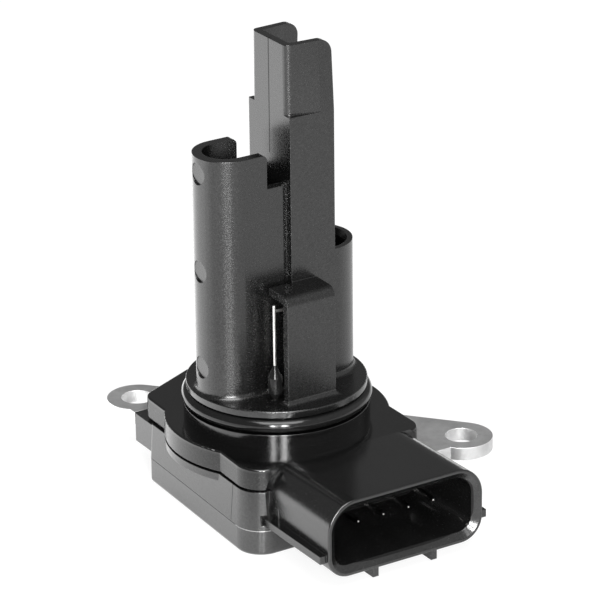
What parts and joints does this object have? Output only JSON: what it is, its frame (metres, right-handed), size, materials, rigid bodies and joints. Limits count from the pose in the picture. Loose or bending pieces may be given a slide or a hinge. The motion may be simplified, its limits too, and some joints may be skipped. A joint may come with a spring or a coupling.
{
  "type": "mass airflow sensor",
  "caption": "Plug-in intake air flow sensor: flanged housing with sealed collar, open measuring probe with fork tip, side plug socket and metal mounting ears.",
  "frame": {"origin": "on the axis of the round collar, in the flat face of the base cover that the sensor stands on", "axes": "+Z along the probe from the base cover to the fork tip, -Y the way the plug socket faces, +X to the right of it"},
  "size_m": [0.0426, 0.059, 0.0698],
  "materials": {
    "housing_plastic": "moulded black plastic, satin",
    "cover_plastic": "moulded black plastic, satin",
    "plate_metal": "blanked sheet, matt",
    "seal_rubber": "moulded rubber",
    "tinned_terminal": "bright tin",
    "board_laminate": "ceramic-filled laminate",
    "chip_resin": "moulded resin",
    "ceramic_body": "fired ceramic",
    "element_ceramic": "glazed ceramic",
    "bead_glass": "dark glass over resin"
  },
  "bodies": {
    "root": {"probe_body": "housing_plastic", "circuit_case": "housing_plastic", "base_cover": "cover_plastic", "mounting_plate": "plate_metal", "seal_ring": "seal_rubber", "cover_seal": "seal_rubber", "connector_pin_1": "tinned_terminal", "connector_pin_2": "tinned_terminal", "connector_pin_3": "tinned_terminal", "connector_pin_4": "tinned_terminal", "connector_pin_5": "tinned_terminal", "circuit_board": "board_laminate", "control_chip": "chip_resin", "chip_capacitors": "ceramic_body", "hot_wire_element": "element_ceramic", "cold_wire_element": "element_ceramic", "element_post_1": "tinned_terminal", "element_post_2": "tinned_terminal", "element_post_3": "tinned_terminal", "element_post_4": "tinned_terminal", "air_temperature_bead": "bead_glass", "air_temperature_lead": "tinned_terminal", "bead_post_short": "tinned_terminal", "bead_post_long": "tinned_terminal"}
  },
  "joints": []
}
